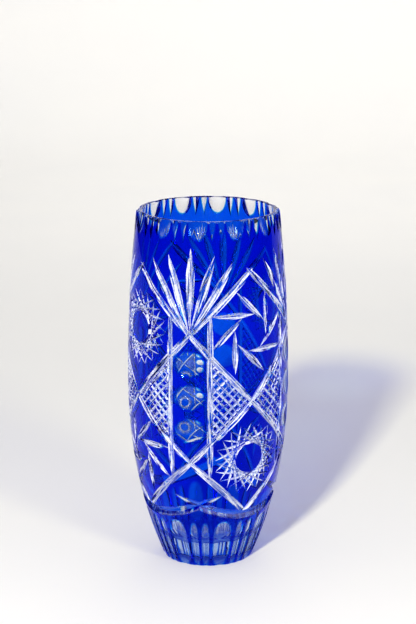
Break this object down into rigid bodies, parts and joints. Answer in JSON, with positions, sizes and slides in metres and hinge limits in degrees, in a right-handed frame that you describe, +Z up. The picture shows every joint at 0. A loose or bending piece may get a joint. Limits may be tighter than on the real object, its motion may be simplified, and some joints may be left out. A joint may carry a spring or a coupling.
{
  "type": "cut crystal vase",
  "caption": "Tall barrel-shaped crystal vase, clear inside and cased in cobalt glass, with hobstar, pinwheel, fan and lens cuts through the blue.",
  "frame": {"origin": "centre of the foot, on the surface it stands on", "axes": "+Z up along the vase's axis; the front lens panel faces -Y"},
  "size_m": [0.1122, 0.1122, 0.25],
  "materials": {
    "clear_crystal": "polished lead crystal with polished cuts",
    "cobalt_casing": "thin polished cobalt-blue casing"
  },
  "bodies": {
    "root": {"crystal_body": "clear_crystal", "collar": "cobalt_casing", "foot_skirt": "cobalt_casing", "lens_panel_1": "cobalt_casing", "lens_panel_2": "cobalt_casing", "lens_panel_3": "cobalt_casing", "lens_panel_4": "cobalt_casing", "hatch_left_1": "cobalt_casing", "hatch_right_1": "cobalt_casing", "hatch_left_2": "cobalt_casing", "hatch_right_2": "cobalt_casing", "hatch_left_3": "cobalt_casing", "hatch_right_3": "cobalt_casing", "hatch_left_4": "cobalt_casing", "hatch_right_4": "cobalt_casing", "gusset_1": "cobalt_casing", "gusset_2": "cobalt_casing", "gusset_3": "cobalt_casing", "gusset_4": "cobalt_casing", "upper_star_field_1": "cobalt_casing", "upper_star_field_2": "cobalt_casing", "upper_star_button_1": "cobalt_casing", "upper_star_button_2": "cobalt_casing", "upper_pinwheel_field_1": "cobalt_casing", "upper_pinwheel_field_2": "cobalt_casing", "lower_star_field_1": "cobalt_casing", "lower_star_field_2": "cobalt_casing", "lower_star_button_1": "cobalt_casing", "lower_star_button_2": "cobalt_casing", "lower_pinwheel_field_1": "cobalt_casing", "lower_pinwheel_field_2": "cobalt_casing"}
  },
  "joints": []
}
